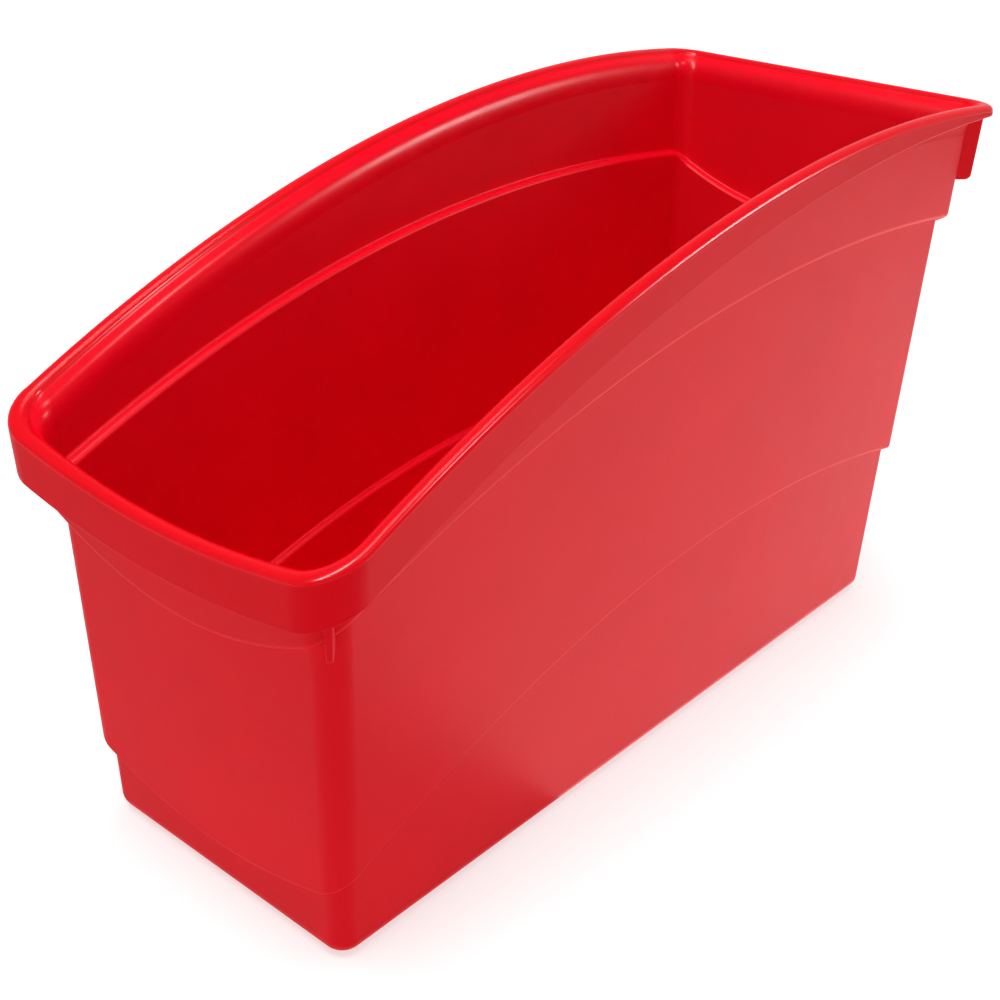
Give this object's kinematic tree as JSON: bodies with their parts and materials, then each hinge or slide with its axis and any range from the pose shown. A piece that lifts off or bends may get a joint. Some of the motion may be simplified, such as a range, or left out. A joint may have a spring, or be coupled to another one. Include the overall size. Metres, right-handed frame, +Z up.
{
  "type": "art supply box",
  "caption": "Open stepped plastic bin, low at the front and high at the back, with a rolled rim, for storing art supplies, paper pads and thin books upright on a shelf.",
  "frame": {"origin": "middle of the footprint's bounding box, on the surface that the bin stands on", "axes": "+Z up, +Y from the low front to the high back, +X to the bin's right seen from the front"},
  "size_m": [0.1336, 0.3121, 0.1945],
  "materials": {
    "shell": "satin moulded polypropylene, fine grain",
    "rim": "smoother, glossier moulded polypropylene"
  },
  "bodies": {
    "root": {"base_panel": "shell", "lower_front_wall": "shell", "lower_back_wall": "shell", "lower_left_wall": "shell", "lower_right_wall": "shell", "middle_front_wall": "shell", "middle_back_wall": "shell", "middle_left_wall": "shell", "middle_right_wall": "shell", "upper_front_wall": "shell", "upper_back_wall": "shell", "upper_left_wall": "shell", "upper_right_wall": "shell", "front_rim": "rim", "back_rim": "rim", "left_rim": "rim", "right_rim": "rim", "front_corner_lug": "shell", "back_corner_lug": "shell"}
  },
  "joints": []
}
